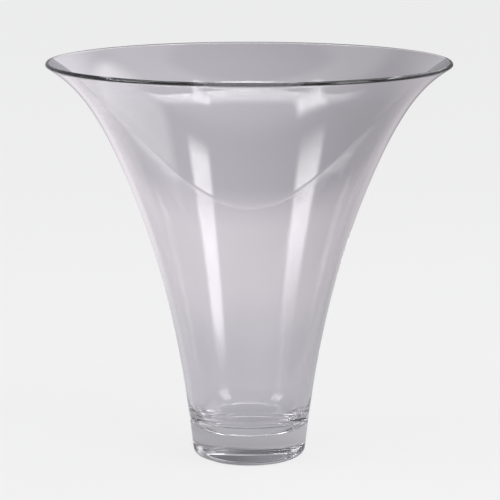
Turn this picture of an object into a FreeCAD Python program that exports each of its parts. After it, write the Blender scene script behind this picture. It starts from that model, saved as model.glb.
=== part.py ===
import FreeCAD, Part
import os
import Sketcher
from FreeCAD import Vector

# A clear glass trumpet vase with a wide flared mouth and a thick solid base.
# It is worked from two gathers of glass: the blown bowl, which holds the water, and the
# heavy base, a solid disc. They are fused hot, and meet face to face at a flat seam.
# Millimetres. +Z is up, and the origin is at the middle of the resting face.

# Each entry is (name, value, what it is). The outside wall's radius at a share s of
# bowl_height is a straight taper, plus a slow swell, plus a lip that turns out in the
# last tenth of the height:
# foot_radius + taper_rise * s + swell_rise * s^swell_power + lip_rise * s^lip_power
DIMENSIONS = (
    ("bowl_height", 297.1, "height of the outside wall's end, where the rim's rounding starts"),
    ("foot_radius", 42.2, "outside radius that the taper has at the resting face"),
    ("taper_rise", 31.0, "what the straight taper adds to the radius by the rim"),
    ("swell_rise", 60.0, "what the slow swell adds to the radius by the rim"),
    ("swell_power", 2.42, "how late the swell comes, as a power of the share of height"),
    ("lip_rise", 16.6, "what the turned-out lip adds to the radius by the rim"),
    ("lip_power", 19.3, "how late the lip turns out, as a power of the share of height"),
    ("wall_thickness", 4.0, "thickness of the wall at the foot of the bowl"),
    ("rim_thickness", 3.0, "thickness of the wall at the rim"),
    ("rim_crown", 1.5, "how far the fire-polished rim rounds on past the walls' ends"),
    ("floor_height", 21.0, "height of the inner floor above the resting face"),
    ("floor_round_radius", 22.5, "radius of the rounding between the inner floor and the wall"),
    ("seam_height", 12.0, "height of the hot seam between the base and the bowl"),
    ("foot_edge_radius", 5.5, "radius of the polished edge round the resting face"),
)

# Where the rings lie that steer both walls, as shares of bowl_height, closer together
# towards the lip.
ring_shares = (0.1, 0.2, 0.3, 0.4, 0.5, 0.6, 0.69, 0.77, 0.84, 0.9, 0.945, 0.975, 1)

POLE_WEIGHT = 1  # every pole of a wall's curve pulls alike


def make_sheet(doc):
    """The spreadsheet of driving dimensions, each cell with its alias."""
    sheet = doc.addObject("Spreadsheet::Sheet", "Sizes")
    for row, (name, value, meaning) in enumerate(DIMENSIONS, start=1):
        sheet.set(f"A{row}", name)
        sheet.set(f"B{row}", str(value))
        sheet.set(f"C{row}", meaning)
        sheet.setAlias(f"B{row}", name)
    doc.recompute()
    return sheet


# The functions from here to inner_wall_points return expressions: text that the
# document works out from the sheet, so that the walls follow its cells. A point is a
# pair of them, (radius, height).


def outer_radius(share):
    return (
        f"(Sizes.foot_radius + Sizes.taper_rise * {share}"
        f" + Sizes.swell_rise * pow({share}; Sizes.swell_power)"
        f" + Sizes.lip_rise * pow({share}; Sizes.lip_power))"
    )


def outward_slope(share):
    """How fast the outside radius grows with height."""
    return (
        f"((Sizes.taper_rise"
        f" + Sizes.swell_rise * Sizes.swell_power * pow({share}; Sizes.swell_power - 1)"
        f" + Sizes.lip_rise * Sizes.lip_power * pow({share}; Sizes.lip_power - 1))"
        f" / Sizes.bowl_height)"
    )


def slant(share):
    """How long the wall runs for each millimetre of height."""
    return f"sqrt(1 + pow({outward_slope(share)}; 2))"


def thickness(share):
    return f"(Sizes.wall_thickness + (Sizes.rim_thickness - Sizes.wall_thickness) * {share})"


def outer_point(share):
    return outer_radius(share), f"Sizes.bowl_height * {share}"


def inner_point(share):
    """The point straight through the wall from the outer one."""
    radius, height = outer_point(share)
    return (
        f"{radius} - {thickness(share)} / {slant(share)}",
        f"{height} + {thickness(share)} * {outward_slope(share)} / {slant(share)}",
    )


def past_the_rim(point):
    """The point moved on by rim_crown, the way that the wall runs at the rim."""
    radius, height = point
    return (
        f"{radius} + Sizes.rim_crown * {outward_slope(1)} / {slant(1)}",
        f"{height} + Sizes.rim_crown / {slant(1)}",
    )


def rim_crown_point():
    """The crown of the rounded rim, midway between the two walls."""
    pair = zip(past_the_rim(outer_point(1)), past_the_rim(inner_point(1)))
    return tuple(f"({outer} + {inner}) / 2" for outer, inner in pair)


def seam_edge_point():
    """Where the hot seam comes out at the side, on the base and on the bowl."""
    return outer_radius("Sizes.seam_height / Sizes.bowl_height"), "Sizes.seam_height"


def floor_corner_point():
    """Where the inner wall and the floor would meet in a sharp corner, before it is rounded."""
    share = "(Sizes.floor_height / Sizes.bowl_height)"
    through_the_wall = f"{thickness(share)} * {slant(share)}"
    return f"{outer_radius(share)} - {through_the_wall}", "Sizes.floor_height"


def outer_wall_points():
    """From the seam up to the rim's crown."""
    rings = [outer_point(share) for share in ring_shares]
    return [seam_edge_point(), *rings, past_the_rim(outer_point(1)), rim_crown_point()]


def inner_wall_points():
    """From the rim's crown down to the floor."""
    rings = [inner_point(share) for share in reversed(ring_shares)]
    return [rim_crown_point(), past_the_rim(inner_point(1)), *rings, floor_corner_point()]


def new_sketch(body, name):
    """A sketch on the body's own XZ plane: its x is the radius and its y the height."""
    sketch = body.newObject("Sketcher::SketchObject", name)
    plane = next(item for item in body.Origin.OriginFeatures if item.Role == "XZ_Plane")
    sketch.AttachmentSupport = [(plane, "")]
    sketch.MapMode = "FlatFace"
    return sketch


def constrain(sketch, *constraint):
    return sketch.addConstraint(Sketcher.Constraint(*constraint))


def pin(sketch, piece, end, point, place):
    """Ties a point of the sketch to a pair of expressions."""
    for direction, expression, start in zip(("DistanceX", "DistanceY"), point, place):
        number = constrain(sketch, direction, -1, 1, piece, end, start)
        sketch.setExpression(f"Constraints[{number}]", expression)


def where(sheet, point):
    """Where a point lies with the sheet's values, for the sketch to start from."""
    values = [sheet.evalExpression(expression) for expression in point]
    return Vector(*[getattr(value, "Value", value) for value in values], 0)


def add_wall(sketch, sheet, points):
    """A smooth cubic curve that its points steer. Returns its number and its poles' numbers."""
    places = [where(sheet, point) for point in points]
    curve = Part.BSplineCurve()
    curve.buildFromPoles(places, False, 3)
    wall = sketch.addGeometry(curve, False)
    up = Vector(0, 0, 1)
    poles = [sketch.addGeometry(Part.Circle(place, up, POLE_WEIGHT), True) for place in places]
    for number, pole in enumerate(poles):
        kind = "InternalAlignment:Sketcher::BSplineControlPoint"
        constrain(sketch, kind, pole, 3, wall, number)
    constrain(sketch, "Weight", poles[0], POLE_WEIGHT)
    for pole in poles[1:]:
        constrain(sketch, "Equal", poles[0], pole)
    return wall, poles


def revolve(body, sketch, name):
    feature = body.newObject("PartDesign::Revolution", name)
    feature.Profile = sketch
    feature.ReferenceAxis = (sketch, ["V_Axis"])
    feature.Angle = 360
    return feature


def round_edge(body, feature, height, alias, name):
    """Rounds the circular edge that the feature has at a height, with a radius from the sheet."""
    body.Document.recompute()
    tolerance = Part.Precision.confusion()
    for number, edge in enumerate(feature.Shape.Edges, start=1):
        box = edge.BoundBox
        if isinstance(edge.Curve, Part.Circle) and abs(box.Center.z - height) < tolerance:
            fillet = body.newObject("PartDesign::Fillet", name)
            fillet.Base = (feature, [f"Edge{number}"])
            fillet.setExpression("Radius", alias)
            return
    raise RuntimeError(f"{name}: no round edge at height {height}")


def make_bowl(doc, sheet):
    """The blown bowl: outside wall, rounded rim, inner wall, and the floor with a rounded corner."""
    body = doc.addObject("PartDesign::Body", "Bowl")
    body.Label = "trumpet_bowl"
    sketch = new_sketch(body, "BowlSection")
    outer_points = outer_wall_points()
    inner_points = inner_wall_points()
    outer_wall, outer_poles = add_wall(sketch, sheet, outer_points)
    inner_wall, inner_poles = add_wall(sketch, sheet, inner_points)
    for pole, point in zip(outer_poles, outer_points):
        pin(sketch, pole, 3, point, where(sheet, point))
    for pole, point in list(zip(inner_poles, inner_points))[1:]:
        pin(sketch, pole, 3, point, where(sheet, point))

    seam_edge = where(sheet, outer_points[0])
    floor_corner = where(sheet, inner_points[-1])
    floor_middle = Vector(0, floor_corner.y, 0)
    seam_middle = Vector(0, seam_edge.y, 0)
    floor = sketch.addGeometry(Part.LineSegment(floor_corner, floor_middle), False)
    axis = sketch.addGeometry(Part.LineSegment(floor_middle, seam_middle), False)
    seam = sketch.addGeometry(Part.LineSegment(seam_middle, seam_edge), False)
    constrain(sketch, "Coincident", outer_wall, 2, inner_wall, 1)
    constrain(sketch, "Coincident", inner_wall, 2, floor, 1)
    constrain(sketch, "Coincident", floor, 2, axis, 1)
    constrain(sketch, "Coincident", axis, 2, seam, 1)
    constrain(sketch, "Coincident", seam, 2, outer_wall, 1)
    constrain(sketch, "Horizontal", floor)
    constrain(sketch, "Horizontal", seam)
    constrain(sketch, "PointOnObject", axis, 1, -2)
    constrain(sketch, "PointOnObject", axis, 2, -2)

    turned = revolve(body, sketch, "BowlOfRevolution")
    round_edge(body, turned, floor_corner.y, "Sizes.floor_round_radius", "RoundedFloor")
    return body


def make_base(doc, sheet):
    """The solid base: its side carries the bowl's taper down to the polished foot edge."""
    body = doc.addObject("PartDesign::Body", "Base")
    body.Label = "solid_base"
    sketch = new_sketch(body, "BaseSection")
    foot_point = ("Sizes.foot_radius", "0")
    seam_point = seam_edge_point()
    foot_edge = where(sheet, foot_point)
    seam_edge = where(sheet, seam_point)
    foot_middle = Vector(0, 0, 0)
    seam_middle = Vector(0, seam_edge.y, 0)
    foot = sketch.addGeometry(Part.LineSegment(foot_middle, foot_edge), False)
    side = sketch.addGeometry(Part.LineSegment(foot_edge, seam_edge), False)
    seam = sketch.addGeometry(Part.LineSegment(seam_edge, seam_middle), False)
    axis = sketch.addGeometry(Part.LineSegment(seam_middle, foot_middle), False)
    constrain(sketch, "Coincident", foot, 1, -1, 1)
    constrain(sketch, "Coincident", foot, 2, side, 1)
    constrain(sketch, "Coincident", side, 2, seam, 1)
    constrain(sketch, "Coincident", seam, 2, axis, 1)
    constrain(sketch, "Coincident", axis, 2, foot, 1)
    constrain(sketch, "Horizontal", foot)
    constrain(sketch, "Horizontal", seam)
    constrain(sketch, "Vertical", axis)
    number = constrain(sketch, "DistanceX", foot, 1, foot, 2, foot_edge.x)
    sketch.setExpression(f"Constraints[{number}]", "Sizes.foot_radius")
    pin(sketch, side, 2, seam_point, seam_edge)

    turned = revolve(body, sketch, "BaseOfRevolution")
    round_edge(body, turned, 0, "Sizes.foot_edge_radius", "PolishedFootEdge")
    return body


def check(doc, bodies):
    """Stops the build if an object failed, or if a body isn't one valid solid."""
    for item in doc.Objects:
        if {"Invalid", "Error"} & set(item.State):
            raise RuntimeError(f"{item.Label} did not recompute: {item.State}")
    for body in bodies:
        shape = body.Shape
        if shape.isNull() or not shape.isValid() or len(shape.Solids) != 1:
            raise RuntimeError(f"{body.Label} is not one valid solid")


def build():
    doc = FreeCAD.newDocument("TrumpetVase")
    sheet = make_sheet(doc)
    bodies = [make_base(doc, sheet), make_bowl(doc, sheet)]
    doc.recompute()
    check(doc, bodies)
    os.makedirs("parts", exist_ok=True)
    for body in bodies:
        body.Shape.exportStep(f"parts/{body.Label}.step")
        box = body.Shape.BoundBox
        print(f"{body.Label}: radius {box.XMax:.2f}, z {box.ZMin:.2f} to {box.ZMax:.2f}")


build()
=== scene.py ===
import math
from itertools import pairwise

import bpy
from bpy.props import FloatProperty, IntProperty, PointerProperty, StringProperty
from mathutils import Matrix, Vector


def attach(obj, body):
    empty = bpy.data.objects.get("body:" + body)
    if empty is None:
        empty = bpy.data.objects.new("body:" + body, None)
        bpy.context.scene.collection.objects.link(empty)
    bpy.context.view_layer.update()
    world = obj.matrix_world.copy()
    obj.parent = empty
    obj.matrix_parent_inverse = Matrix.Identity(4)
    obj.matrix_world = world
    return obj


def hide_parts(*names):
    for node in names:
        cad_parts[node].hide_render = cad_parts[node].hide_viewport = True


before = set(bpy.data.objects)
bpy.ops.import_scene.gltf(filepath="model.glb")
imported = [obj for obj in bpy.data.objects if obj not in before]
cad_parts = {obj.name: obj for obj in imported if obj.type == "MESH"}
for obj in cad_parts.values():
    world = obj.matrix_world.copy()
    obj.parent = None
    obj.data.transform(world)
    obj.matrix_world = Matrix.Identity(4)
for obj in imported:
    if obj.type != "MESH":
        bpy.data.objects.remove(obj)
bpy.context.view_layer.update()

# A tall trumpet vase of clear mouth-blown glass, on a pale floor under two tall
# softboxes. Metres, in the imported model's frame: +Z up, origin under the vase's axis.

bl_info = {
    "name": "Glass Trumpet Vase",
    "version": (1, 0, 0),
    "blender": (4, 5, 0),
    "location": "View3D > Sidebar > Vase",
    "description": "Models a clear glass trumpet vase and the studio that it stands in",
    "category": "Add Mesh",
}

MM = 0.001

# Settings that several nodes share
TIMES = {"operation": "MULTIPLY"}
PLUS = {"operation": "ADD"}
LARGER = {"operation": "MAXIMUM"}
LENGTH = {"operation": "LENGTH"}
SMOOTH = {"interpolation_type": "SMOOTHSTEP"}

# The stage's lamps, each with its own group of sizes in the studio's properties
LAMPS = ("left", "right", "side", "upper_left", "upper_right")


def size(value, name, description):
    """A length property, given in millimetres."""
    return FloatProperty(
        name=name, description=description, default=value * MM, unit="LENGTH", precision=5
    )


def plain(value, name, description):
    return FloatProperty(name=name, description=description, default=value, precision=4)


def angle(degrees, name, description):
    return FloatProperty(
        name=name, description=description, default=math.radians(degrees), subtype="ANGLE"
    )


def colour(value, name, description):
    """A colour property, kept as an sRGB hex value."""
    return StringProperty(name=name, description=description, default=value)


class VaseShape(bpy.types.PropertyGroup):
    """The vase's section. Each wall follows one curve of the height's share, as in the CAD model."""

    bowl_height: size(297.1, "Bowl height", "Height of the outside wall's end, under the rim")
    foot_radius: size(42.2, "Foot radius", "Outside radius that the taper has at the floor")
    taper_rise: size(31.0, "Taper rise", "What the straight taper adds to the radius")
    swell_rise: size(60.0, "Swell rise", "What the slow swell adds to the radius")
    swell_power: plain(2.42, "Swell power", "How late the swell comes")
    lip_rise: size(16.6, "Lip rise", "What the turned-out lip adds to the radius")
    lip_power: plain(19.3, "Lip power", "How late the lip turns out")
    wall_thickness: size(4.0, "Wall thickness", "Thickness of the wall at the foot")
    rim_thickness: size(3.0, "Rim thickness", "Thickness of the wall at the rim")
    rim_crown: size(1.5, "Rim crown", "How far the rim rounds on past the walls' ends")
    floor_height: size(21.0, "Floor height", "Height of the inner floor")
    floor_round: size(22.5, "Floor rounding", "Radius between the inner floor and the wall")
    foot_edge: size(5.5, "Foot edge", "Radius of the polished edge round the foot")
    sides: IntProperty(name="Sides", description="Vertices round each ring", default=96, min=12)
    smoothing: IntProperty(name="Smoothing", description="Levels of subdivision", default=2, min=1)


class GlassFinish(bpy.types.PropertyGroup):
    """Clear soda-lime glass, mouth-blown and fire-polished."""

    tint: colour("#F6F5F7", "Tint", "What the surfaces let through of white light")
    body_colour: colour("#BDBDBE", "Body colour", "What a deep body of the glass tends to")
    density: plain(7.0, "Density", "How strongly the body takes light, per metre")
    ior: plain(1.52, "IOR", "Index of refraction of soda-lime glass")
    ripple_length: size(30.0, "Ripple length", "Distance between the blowing's faint waves")
    ripple_depth: size(0.02, "Ripple depth", "Depth of the blowing's faint waves")


class Studio(bpy.types.PropertyGroup):
    """The floor, and the surroundings that the glass shows."""

    floor_colour: colour("#F1F1F1", "Floor", "Pale floor")
    floor_size: size(40000.0, "Floor size", "Width of the floor")
    floor_glow: plain(0.9, "Floor glow", "Share of the floor's look that shadows leave alone")
    sweep_radius: size(1250.0, "Sweep radius", "Where the grey sweep turns up, all round the vase")
    sweep_height: size(600.0, "Sweep height", "Height of the grey sweep's upper edge")
    # Painted shadow: the sweep is darkest under the vase's foot, as the vase's contact shadow.
    foot_shadow_grey: colour("#BDBCC1", "Shade", "The sweep under the vase's foot")
    # Painted shadow: round the foot the sweep is darkened as the vase's own shadow on it.
    near_shadow_grey: colour("#C7C6CA", "Near grey", "The sweep round the vase's foot")
    # Painted light: two feet behind the vase the sweep is lightest, as a pool of the lamps' light.
    lit_pool_grey: colour("#DED9DD", "Middle grey", "The sweep two feet behind the vase")
    # Painted shade: further out and up, the sweep grows darker as the lamps' light falls off.
    low_grey: colour("#B5B2B7", "Low grey", "The sweep just above where it turns up")
    high_grey: colour("#BAB8BD", "High grey", "The sweep's upper part")
    top_grey: colour("#8F8F94", "Top grey", "The sweep's unlit upper edge")
    dark_colour: colour("#8A8C92", "Room", "The unlit room over the sweep")
    behind_colour: colour("#D2D2D6", "Behind", "The lit room over the sweep, straight behind")
    ceiling_colour: colour("#E4E6E8", "Ceiling", "The lit ceiling round the ring")
    zenith_colour: colour("#7C8086", "Zenith", "The ceiling straight overhead")
    left_distance: size(1200.0, "Left distance", "From the vase's axis, level")
    left_turn: angle(-68.8, "Left turn", "Round from the camera's side")
    left_middle: size(700.0, "Left middle", "Height of the left softbox's middle")
    left_width: size(690.0, "Left width", "Across the left softbox")
    left_height: size(1150.0, "Left height", "Up the left softbox")
    left_core: plain(0.1, "Left core", "Share of its height over which it is evenly bright")
    left_strength: plain(6.2, "Left strength", "Radiance in its middle, where 1 renders white")
    right_distance: size(1200.0, "Right distance", "From the vase's axis, level")
    right_turn: angle(56.3, "Right turn", "Round from the camera's side")
    right_middle: size(650.0, "Right middle", "Height of the right softbox's middle")
    right_width: size(580.0, "Right width", "Across the right softbox")
    right_height: size(1160.0, "Right height", "Up the right softbox")
    right_core: plain(0.6, "Right core", "Share of its height over which it is evenly bright")
    right_strength: plain(5.8, "Right strength", "Radiance in its middle, where 1 renders white")
    side_distance: size(1200.0, "Side distance", "From the vase's axis, level")
    side_turn: angle(120.0, "Side turn", "Of the wide light behind on the right")
    side_middle: size(1050.0, "Side middle", "Height of the side light's middle")
    side_width: size(2000.0, "Side width", "Across the side light")
    side_height: size(1300.0, "Side height", "Up the side light")
    side_core: plain(0.3, "Side core", "Share of its height over which it is evenly bright")
    side_strength: plain(1.9, "Side strength", "Radiance in its middle, where 1 renders white")
    upper_left_distance: size(950.0, "Upper left distance", "From the vase's axis, level")
    upper_left_turn: angle(-69.0, "Upper left turn", "Round from the camera's side")
    upper_left_middle: size(1600.0, "Upper left middle", "Height of the lamp's middle")
    upper_left_width: size(700.0, "Upper left width", "Across the lamp over the left softbox")
    upper_left_height: size(800.0, "Upper left height", "Up the lamp")
    upper_left_core: plain(0.3, "Upper left core", "Share of its height that is evenly bright")
    upper_left_strength: plain(6.0, "Upper left strength", "Radiance in its middle")
    upper_right_distance: size(950.0, "Upper right distance", "From the vase's axis, level")
    upper_right_turn: angle(57.0, "Upper right turn", "Round from the camera's side")
    upper_right_middle: size(1860.0, "Upper right middle", "Height of the lamp's middle")
    upper_right_width: size(500.0, "Upper right width", "Across the lamp over the right softbox")
    upper_right_height: size(650.0, "Upper right height", "Up the lamp")
    upper_right_core: plain(0.3, "Upper right core", "Share of its height that is evenly bright")
    upper_right_strength: plain(6.5, "Upper right strength", "Radiance in its middle")
    ring_height: size(2500.0, "Ring height", "Height of the overhead ring of light")
    ring_inner: size(2200.0, "Ring inside", "Radius of the ring's inner edge")
    ring_outer: size(2800.0, "Ring outside", "Radius of the ring's outer edge")
    ring_back: size(1310.0, "Ring place", "How far the ring's middle lies behind the vase")
    ring_left: plain(4.4, "Ring left", "Radiance on the left, where 1 renders white")
    ring_right: plain(6.5, "Ring right", "Radiance on the right")


class CameraPlace(bpy.types.PropertyGroup):
    """Where the photograph was taken from."""

    distance: size(1584.7, "Distance", "From the vase's axis, level")
    height: size(460.3, "Height", "Above the floor")
    pitch: angle(10.83, "Pitch", "Down from level")
    lens: FloatProperty(name="Lens", description="Focal length", default=154.4, unit="CAMERA")
    shift: plain(0.0016, "Shift", "Sideways shift, as a share of the frame")


def linear(hex_value):
    """An sRGB hex colour as linear RGBA."""
    channels = [int(hex_value[i : i + 2], 16) / 255 for i in (1, 3, 5)]
    curve = [c / 12.92 if c <= 0.04045 else ((c + 0.055) / 1.055) ** 2.4 for c in channels]
    return (*curve, 1.0)


def add_node(tree, kind, settings=None, inputs=None, stops=()):
    """Adds a node with its settings, its sockets' values or links, and a colour ramp's stops.

    Where a socket is given a node, it takes that node's first output.
    """
    node = tree.nodes.new(kind)
    for name, value in (settings or {}).items():
        setattr(node, name, value)
    for name, value in (inputs or {}).items():
        if isinstance(value, bpy.types.Node):
            value = value.outputs[0]
        if isinstance(value, bpy.types.NodeSocket):
            tree.links.new(value, node.inputs[name])
        else:
            node.inputs[name].default_value = value
    if stops:
        ramp = node.color_ramp
        ramp.interpolation = "EASE"
        while len(ramp.elements) < len(stops):
            ramp.elements.new(0.5)
        for element, (position, shade) in zip(ramp.elements, stops):
            element.position = position
            element.color = linear(shade)
    return node


def start_piece():
    if bpy.context.mode != "OBJECT":
        bpy.ops.object.mode_set(mode="OBJECT")
    bpy.ops.object.select_all(action="DESELECT")


# The vase's section, as rings of (radius, height)


def outer_radius(shape, share):
    taper = shape.taper_rise * share
    swell = shape.swell_rise * share**shape.swell_power
    lip = shape.lip_rise * share**shape.lip_power
    return shape.foot_radius + taper + swell + lip


def outward_slope(shape, share):
    swell = shape.swell_rise * shape.swell_power * share ** (shape.swell_power - 1)
    lip = shape.lip_rise * shape.lip_power * share ** (shape.lip_power - 1)
    return (shape.taper_rise + swell + lip) / shape.bowl_height


def outer_ring(shape, share):
    return Vector((outer_radius(shape, share), shape.bowl_height * share))


def inner_ring(shape, share):
    """Straight through the wall from the outer ring."""
    lean = math.atan(outward_slope(shape, share))
    thick = shape.wall_thickness + (shape.rim_thickness - shape.wall_thickness) * share
    return outer_ring(shape, share) + thick * Vector((-math.cos(lean), math.sin(lean)))


def arc_rings(centre, radius, start, end, steps):
    """Rings round an arc. They stand off it a little, so that the smoothed surface lies on it."""
    turn = (end - start) / steps
    stand_off = radius * 3 / (2 + math.cos(turn))
    angles = [start + turn * step for step in range(steps + 1)]
    return [centre + stand_off * Vector((math.cos(a), math.sin(a))) for a in angles]


def foot_rings(shape):
    """Across the resting face, round the polished edge and up the thick side."""
    lean = math.atan(outward_slope(shape, 0))
    # The edge's centre is one radius in from the leaning side.
    reach = outer_radius(shape, shape.foot_edge / shape.bowl_height)
    centre = Vector((reach - shape.foot_edge / math.cos(lean), shape.foot_edge))
    edge = arc_rings(centre, shape.foot_edge, -math.pi / 2, -lean, 4)
    face = [Vector((centre.x * share, 0)) for share in (0.3, 0.7, 0.93)]
    side = [outer_ring(shape, share) for share in (0.035, 0.06)]
    return face + edge + side


def floor_rings(shape):
    """Round from the inner wall to the flat floor, and in towards the middle."""
    centre_height = shape.floor_height + shape.floor_round
    share = centre_height / shape.bowl_height
    lean = math.atan(outward_slope(shape, share))
    wall = inner_ring(shape, share)
    centre = Vector((wall.x - shape.floor_round / math.cos(lean), centre_height))
    rounding = arc_rings(centre, shape.floor_round, -lean, -math.pi / 2, 6)
    face = [Vector((centre.x * share, shape.floor_height)) for share in (0.8, 0.4)]
    return rounding + face


def vase_rings(shape):
    """The whole section: foot, outer wall, rim, inner wall and floor."""
    shares = (0.1, 0.2, 0.3, 0.4, 0.5, 0.6, 0.69, 0.77, 0.84, 0.9, 0.945, 0.975, 1.0)
    outer = [outer_ring(shape, share) for share in shares]
    inner = [inner_ring(shape, share) for share in reversed(shares[1:])]
    lean = math.atan(outward_slope(shape, 1.0))
    crown = shape.rim_crown * Vector((math.sin(lean), math.cos(lean)))
    rim = [outer[-1] + crown, inner[0] + crown]
    return foot_rings(shape) + outer + rim + inner + floor_rings(shape)


def glass_material(finish):
    """Soda-lime glass, blown and fire-polished: smooth, with the faint waves of the blowing."""
    material = bpy.data.materials.new("clear_soda_lime_glass")
    material.use_nodes = True
    tree = material.node_tree
    shader = tree.nodes["Principled BSDF"]
    shader.inputs["Base Color"].default_value = linear(finish.tint)
    shader.inputs["Roughness"].default_value = 0.0
    shader.inputs["IOR"].default_value = finish.ior
    shader.inputs["Transmission Weight"].default_value = 1.0
    place = add_node(tree, "ShaderNodeTexCoord")
    # The bubble is drawn out along its axis, so its waves are three times as long that way.
    drawn = add_node(
        tree,
        "ShaderNodeMapping",
        inputs={"Vector": place.outputs["Object"], "Scale": (1, 1, 1 / 3)},
    )
    waves = add_node(
        tree,
        "ShaderNodeTexNoise",
        inputs={"Vector": drawn.outputs["Vector"], "Scale": 1 / finish.ripple_length, "Detail": 0.0},
    )
    bump = add_node(
        tree,
        "ShaderNodeBump",
        inputs={"Height": waves.outputs["Fac"], "Distance": finish.ripple_depth},
    )
    tree.links.new(bump.outputs["Normal"], shader.inputs["Normal"])
    # Hardly seen through a wall, but light that runs along the rim or through the base loses some.
    body = add_node(
        tree,
        "ShaderNodeVolumeAbsorption",
        inputs={"Color": linear(finish.body_colour), "Density": finish.density},
    )
    tree.links.new(body.outputs["Volume"], tree.nodes["Material Output"].inputs["Volume"])
    return material


class VASE_OT_add_glass(bpy.types.Operator):
    """Models the vase's glass, bowl and base in one, as they are once fused"""

    bl_idname = "vase.add_glass"
    bl_label = "Add Vase Glass"

    def execute(self, context):
        shape = context.scene.vase_shape
        rings = vase_rings(shape)
        start_piece()
        first = rings[0]
        bpy.ops.mesh.primitive_circle_add(
            vertices=shape.sides, radius=first.x, fill_type="NGON", location=(0, 0, first.y)
        )
        glass = context.object
        glass.name = "vase_glass"
        bpy.ops.object.mode_set(mode="EDIT")
        bpy.ops.mesh.select_mode(type="FACE")
        bpy.ops.mesh.select_all(action="SELECT")
        # The face that closes the last ring is drawn on to the next, all the way to the floor.
        for ring, following in pairwise(rings):
            lift = (0, 0, following.y - ring.y)
            bpy.ops.mesh.extrude_region_move(TRANSFORM_OT_translate={"value": lift})
            spread = following.x / ring.x
            bpy.ops.transform.resize(
                value=(spread, spread, 1), center_override=(0, 0, following.y)
            )
        bpy.ops.mesh.select_all(action="SELECT")
        bpy.ops.mesh.normals_make_consistent(inside=False)
        bpy.ops.object.mode_set(mode="OBJECT")
        bpy.ops.object.transform_apply(location=True, rotation=True, scale=True)
        bpy.ops.object.modifier_add(type="SUBSURF")
        smoothing = glass.modifiers[-1]
        smoothing.levels = shape.smoothing
        smoothing.render_levels = shape.smoothing
        bpy.ops.object.modifier_apply(modifier=smoothing.name)
        bpy.ops.object.shade_smooth()
        glass.data.materials.append(glass_material(context.scene.glass_finish))
        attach(glass, "root")
        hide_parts("trumpet_bowl", "solid_base")
        return {"FINISHED"}


def stage_tree(name):
    """A new material's nodes, with nothing but the output."""
    material = bpy.data.materials.new(name)
    material.use_nodes = True
    tree = material.node_tree
    tree.nodes.remove(tree.nodes["Principled BSDF"])
    return material, tree


def finish_stage(tree, first, share=None, second=None):
    """Gives a stage material its surface: one shader, or a share of a second one over it."""
    look = first
    if second:
        look = add_node(tree, "ShaderNodeMixShader", inputs={0: share, 1: first, 2: second})
    tree.links.new(look.outputs[0], tree.nodes["Material Output"].inputs["Surface"])


def floor_material(studio):
    """Pale paper. The camera and the glass see it evenly lit, with a soft shadow left in it."""
    material, tree = stage_tree("pale_floor_paper")
    pale = linear(studio.floor_colour)
    ray = add_node(tree, "ShaderNodeLightPath").outputs
    through_glass = {0: ray["Is Glossy Ray"], 1: ray["Is Transmission Ray"]}
    glassy = add_node(tree, "ShaderNodeMath", LARGER, through_glass)
    seen = add_node(tree, "ShaderNodeMath", LARGER, {0: ray["Is Camera Ray"], 1: glassy})
    share = add_node(tree, "ShaderNodeMath", TIMES, {0: seen, 1: studio.floor_glow})
    paper = add_node(tree, "ShaderNodeBsdfDiffuse", inputs={"Color": pale})
    glow = add_node(tree, "ShaderNodeEmission", inputs={"Color": pale})
    finish_stage(tree, paper, share, glow)
    return material


def ring_material(studio):
    """An overhead lamp behind cloth, brightest in front, to the right and at its inner edge."""
    material, tree = stage_tree("ring_light")
    place = add_node(tree, "ShaderNodeTexCoord").outputs["Object"]
    parts = add_node(tree, "ShaderNodeSeparateXYZ", inputs={"Vector": place}).outputs
    span = studio.ring_inner
    # Behind this share of its radius the ring is dark.
    back_end = 0.15
    rightward = add_node(
        tree,
        "ShaderNodeMapRange",
        SMOOTH,
        {
            "Value": parts["X"],
            "From Min": -span,
            "From Max": span,
            "To Min": studio.ring_left,
            "To Max": studio.ring_right,
        },
    )
    frontward = add_node(
        tree,
        "ShaderNodeMapRange",
        SMOOTH,
        {
            "Value": parts["Y"],
            "From Min": -span,
            "From Max": back_end * span,
            "To Min": 1.0,
            "To Max": 0.0,
        },
    )
    reach = add_node(tree, "ShaderNodeVectorMath", LENGTH, {0: place}).outputs["Value"]
    fade = add_node(
        tree,
        "ShaderNodeMapRange",
        SMOOTH,
        {
            "Value": reach,
            "From Min": span,
            "From Max": studio.ring_outer,
            "To Min": 1.0,
            "To Max": 0.0,
        },
    )
    mask = add_node(tree, "ShaderNodeMath", TIMES, {0: frontward, 1: fade})
    clear = add_node(tree, "ShaderNodeBsdfTransparent")
    glow = add_node(tree, "ShaderNodeEmission", inputs={"Strength": rightward})
    finish_stage(tree, clear, mask, glow)
    return material


def softbox_material(name, core, strength):
    """A lamp behind cloth, which fades out near its edges."""
    material, tree = stage_tree(name)
    place = add_node(tree, "ShaderNodeTexCoord").outputs["Object"]
    parts = add_node(tree, "ShaderNodeSeparateXYZ", inputs={"Vector": place}).outputs
    # The share of its width over which a softbox is evenly bright
    even_across = 0.56
    fades = []
    for axis, even in (("X", even_across), ("Y", core)):
        off = add_node(tree, "ShaderNodeMath", {"operation": "ABSOLUTE"}, {0: parts[axis]})
        fade = add_node(
            tree,
            "ShaderNodeMapRange",
            SMOOTH,
            {"Value": off, "From Min": even / 2, "From Max": 0.5, "To Min": 1.0, "To Max": 0.0},
        )
        fades.append(fade)
    mask = add_node(tree, "ShaderNodeMath", TIMES, {0: fades[0], 1: fades[1]})
    clear = add_node(tree, "ShaderNodeBsdfTransparent")
    glow = add_node(tree, "ShaderNodeEmission", inputs={"Strength": strength})
    finish_stage(tree, clear, mask, glow)
    return material


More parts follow.
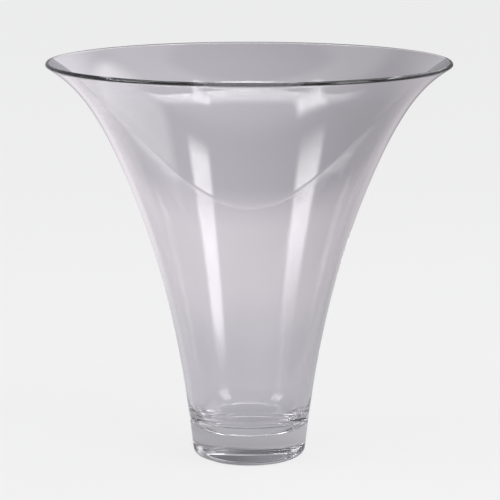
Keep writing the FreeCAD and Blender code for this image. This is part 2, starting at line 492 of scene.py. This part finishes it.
def sweep_material(studio):
    """Grey paper that glows with its light and shade painted in: lit from the camera's left, a
    painted pool of light two feet behind the vase, painted shadow under and round the foot.
    """
    material, tree = stage_tree("grey_sweep_painted_light")
    place = add_node(tree, "ShaderNodeTexCoord").outputs["Object"]
    parts = add_node(tree, "ShaderNodeSeparateXYZ", inputs={"Vector": place}).outputs
    flat = add_node(tree, "ShaderNodeVectorMath", TIMES, {0: place, 1: (1, 1, 0)})
    out = add_node(tree, "ShaderNodeVectorMath", LENGTH, {0: flat}).outputs["Value"]
    # How far out over the paper, and then up it
    run = add_node(tree, "ShaderNodeMath", PLUS, {0: out, 1: parts["Z"]})
    whole = studio.sweep_radius + studio.sweep_height
    share = add_node(tree, "ShaderNodeMath", {"operation": "DIVIDE"}, {0: run, 1: whole})
    turn_up = studio.sweep_radius
    # The sweep's greys are painted light and shade: shadow under and round the foot, a pool of light
    # behind, dimmer out and up.
    painted_greys = (
        (50 * MM, studio.foot_shadow_grey),
        (120 * MM, studio.near_shadow_grey),
        (300 * MM, studio.near_shadow_grey),
        (620 * MM, studio.lit_pool_grey),
        (900 * MM, studio.lit_pool_grey),
        (turn_up + 70 * MM, studio.low_grey),
        (turn_up + 100 * MM, studio.low_grey),
        (turn_up + 140 * MM, studio.high_grey),
        (turn_up + 220 * MM, studio.high_grey),
        (turn_up + 320 * MM, studio.top_grey),
    )
    stops = [(reach / whole, shade) for reach, shade in painted_greys]
    ramp = add_node(tree, "ShaderNodeValToRGB", inputs={"Fac": share}, stops=stops)
    # Painted light: its level falls off from left to right behind the vase, and is stronger in front
    # of it.
    side_reach, left_level, right_level = 350 * MM, 1.22, 0.80
    front_reach, front_level = 300 * MM, 1.6
    rightward = add_node(
        tree,
        "ShaderNodeMapRange",
        SMOOTH,
        {
            "Value": parts["X"],
            "From Min": -side_reach,
            "From Max": side_reach,
            "To Min": left_level,
            "To Max": right_level,
        },
    )
    backward = add_node(
        tree,
        "ShaderNodeMapRange",
        SMOOTH,
        {
            "Value": parts["Y"],
            "From Min": -front_reach,
            "From Max": 0.0,
            "To Min": front_level,
            "To Max": 1.0,
        },
    )
    level = add_node(tree, "ShaderNodeMath", TIMES, {0: rightward, 1: backward})
    glow = add_node(tree, "ShaderNodeEmission", inputs={"Color": ramp, "Strength": level})
    finish_stage(tree, glow)
    return material


def add_softbox(name, distance, turn, middle, width, height, core, strength):
    """An upright light that faces the vase's axis. The camera doesn't see it."""
    start_piece()
    bpy.ops.mesh.primitive_plane_add(size=1)
    box = bpy.context.object
    box.name = name
    box.scale = (width, height, 1)
    box.rotation_euler = (math.pi / 2, 0, turn)
    box.location = (distance * math.sin(turn), -distance * math.cos(turn), middle)
    box.data.materials.append(softbox_material(name, core, strength))
    box.visible_camera = False


def add_ring(studio):
    """A wide ring of light overhead, which the glass shows as a band under the rim."""
    start_piece()
    bpy.ops.mesh.primitive_circle_add(vertices=96, radius=studio.ring_inner, fill_type="NOTHING")
    ring = bpy.context.object
    ring.name = "ring_light"
    bpy.ops.object.mode_set(mode="EDIT")
    bpy.ops.mesh.select_mode(type="EDGE")
    bpy.ops.mesh.select_all(action="SELECT")
    bpy.ops.mesh.extrude_edges_move(TRANSFORM_OT_translate={"value": (0, 0, 0)})
    spread = studio.ring_outer / studio.ring_inner
    bpy.ops.transform.resize(value=(spread, spread, 1), center_override=(0, 0, 0))
    bpy.ops.object.mode_set(mode="OBJECT")
    ring.location = (0, studio.ring_back, studio.ring_height)
    ring.data.materials.append(ring_material(studio))
    ring.visible_camera = False


def add_sweep(studio):
    """The grey paper that the photographed vase stood on, cut out of the picture since.

    The glass still shows it, glowing with painted light and shade, so the camera and the lamps pass
    through it here.
    """
    start_piece()
    bpy.ops.mesh.primitive_circle_add(
        vertices=128, radius=studio.sweep_radius, fill_type="NGON", location=(0, 0, -0.1 * MM)
    )
    sweep = bpy.context.object
    sweep.name = "grey_sweep"
    bpy.ops.object.transform_apply(location=True, rotation=False, scale=False)
    bpy.ops.object.mode_set(mode="EDIT")
    bpy.ops.mesh.select_mode(type="EDGE")
    bpy.ops.mesh.select_all(action="SELECT")
    bpy.ops.mesh.extrude_edges_move(
        TRANSFORM_OT_translate={"value": (0, 0, studio.sweep_height)}
    )
    bpy.ops.object.mode_set(mode="OBJECT")
    sweep.data.materials.append(sweep_material(studio))
    sweep.visible_camera = False
    sweep.visible_diffuse = False
    sweep.visible_shadow = False


def studio_world(studio):
    """The room's light: pale at the floor's level, dark over it, a lit ceiling, dimmer overhead."""
    world = bpy.data.worlds.new("studio")
    world.use_nodes = True
    tree = world.node_tree
    aim = add_node(tree, "ShaderNodeTexCoord").outputs["Generated"]
    parts = add_node(tree, "ShaderNodeSeparateXYZ", inputs={"Vector": aim}).outputs
    # Each place is the sine of a height over the horizon.
    bands = (
        (0.10, studio.floor_colour),
        (0.20, studio.dark_colour),
        (0.62, studio.dark_colour),
        (0.76, studio.ceiling_colour),
        (0.86, studio.ceiling_colour),
        (0.93, studio.zenith_colour),
    )
    ramp = add_node(tree, "ShaderNodeValToRGB", inputs={"Fac": parts["Z"]}, stops=bands)
    # The room is brighter on the camera's side, and behind the vase brighter to the right.
    front_level, back_level = 1.4, 0.7
    behind_left, behind_right = 0.75, 1.6
    backward = add_node(
        tree,
        "ShaderNodeMapRange",
        SMOOTH,
        {
            "Value": parts["Y"],
            "From Min": -0.5,
            "From Max": 0.5,
            "To Min": front_level,
            "To Max": back_level,
        },
    )
    rightward = add_node(
        tree,
        "ShaderNodeMapRange",
        SMOOTH,
        {
            "Value": parts["X"],
            "From Min": -0.45,
            "From Max": 0.45,
            "To Min": behind_left,
            "To Max": behind_right,
        },
    )
    # Straight behind, the room is lit as far up as the glass shows it.
    behind = add_node(
        tree,
        "ShaderNodeMapRange",
        SMOOTH,
        {"Value": parts["Y"], "From Min": 0.55, "From Max": 0.9, "To Min": 0.0, "To Max": 1.0},
    )
    # A Mix node has sockets for each kind of data. Numbers 6 and 7 take its colours, and
    # number 2 of those that go out gives one.
    colours = add_node(
        tree,
        "ShaderNodeMix",
        {"data_type": "RGBA"},
        {0: behind, 6: ramp, 7: linear(studio.behind_colour)},
    )
    level = add_node(
        tree,
        "ShaderNodeMapRange",
        SMOOTH,
        {
            "Value": behind,
            "From Min": 0.0,
            "From Max": 1.0,
            "To Min": backward,
            "To Max": rightward,
        },
    )
    background = tree.nodes["Background"]
    tree.links.new(colours.outputs[2], background.inputs["Color"])
    tree.links.new(level.outputs[0], background.inputs["Strength"])
    return world


class VASE_OT_add_stage(bpy.types.Operator):
    """Lays the floor, lights the studio and places the camera"""

    bl_idname = "vase.add_stage"
    bl_label = "Add Stage"

    def execute(self, context):
        studio = context.scene.vase_studio
        start_piece()
        bpy.ops.mesh.primitive_plane_add(size=studio.floor_size, location=(0, 0, -0.2 * MM))
        floor = context.object
        floor.name = "floor"
        floor.data.materials.append(floor_material(studio))

        context.scene.world = studio_world(studio)
        add_sweep(studio)
        for lamp in LAMPS:
            add_softbox(
                f"{lamp}_light",
                distance=getattr(studio, f"{lamp}_distance"),
                turn=getattr(studio, f"{lamp}_turn"),
                middle=getattr(studio, f"{lamp}_middle"),
                width=getattr(studio, f"{lamp}_width"),
                height=getattr(studio, f"{lamp}_height"),
                core=getattr(studio, f"{lamp}_core"),
                strength=getattr(studio, f"{lamp}_strength"),
            )
        add_ring(studio)

        place = context.scene.vase_camera
        bpy.ops.object.camera_add(
            location=(0, -place.distance, place.height),
            rotation=(math.pi / 2 - place.pitch, 0, 0),
        )
        camera = context.object
        camera.data.lens = place.lens
        camera.data.shift_x = place.shift
        context.scene.camera = camera
        context.scene.view_settings.view_transform = "Standard"
        # Light runs on inside the rim and the base for dozens of reflections.
        context.scene.cycles.max_bounces = 96
        context.scene.cycles.transmission_bounces = 24
        context.scene.cycles.glossy_bounces = 64
        return {"FINISHED"}


class VASE_PT_panel(bpy.types.Panel):
    """Lists what the vase is made of"""

    bl_label = "Glass Trumpet Vase"
    bl_idname = "VASE_PT_panel"
    bl_space_type = "VIEW_3D"
    bl_region_type = "UI"
    bl_category = "Vase"

    def draw(self, context):
        for maker in OPERATORS:
            self.layout.operator(maker.bl_idname)
        for name, group in GROUPS.items():
            box = self.layout.box()
            settings = getattr(context.scene, name)
            for key in group.__annotations__:
                box.prop(settings, key)


GROUPS = {
    "vase_shape": VaseShape,
    "glass_finish": GlassFinish,
    "vase_studio": Studio,
    "vase_camera": CameraPlace,
}
OPERATORS = (VASE_OT_add_glass, VASE_OT_add_stage)


def register():
    for cls in (*GROUPS.values(), *OPERATORS, VASE_PT_panel):
        bpy.utils.register_class(cls)
    for name, group in GROUPS.items():
        setattr(bpy.types.Scene, name, PointerProperty(type=group))


def unregister():
    for name in GROUPS:
        delattr(bpy.types.Scene, name)
    for cls in (VASE_PT_panel, *OPERATORS, *GROUPS.values()):
        bpy.utils.unregister_class(cls)


def main():
    register()
    bpy.ops.vase.add_glass()
    bpy.ops.vase.add_stage()


if __name__ == "__main__":
    main()
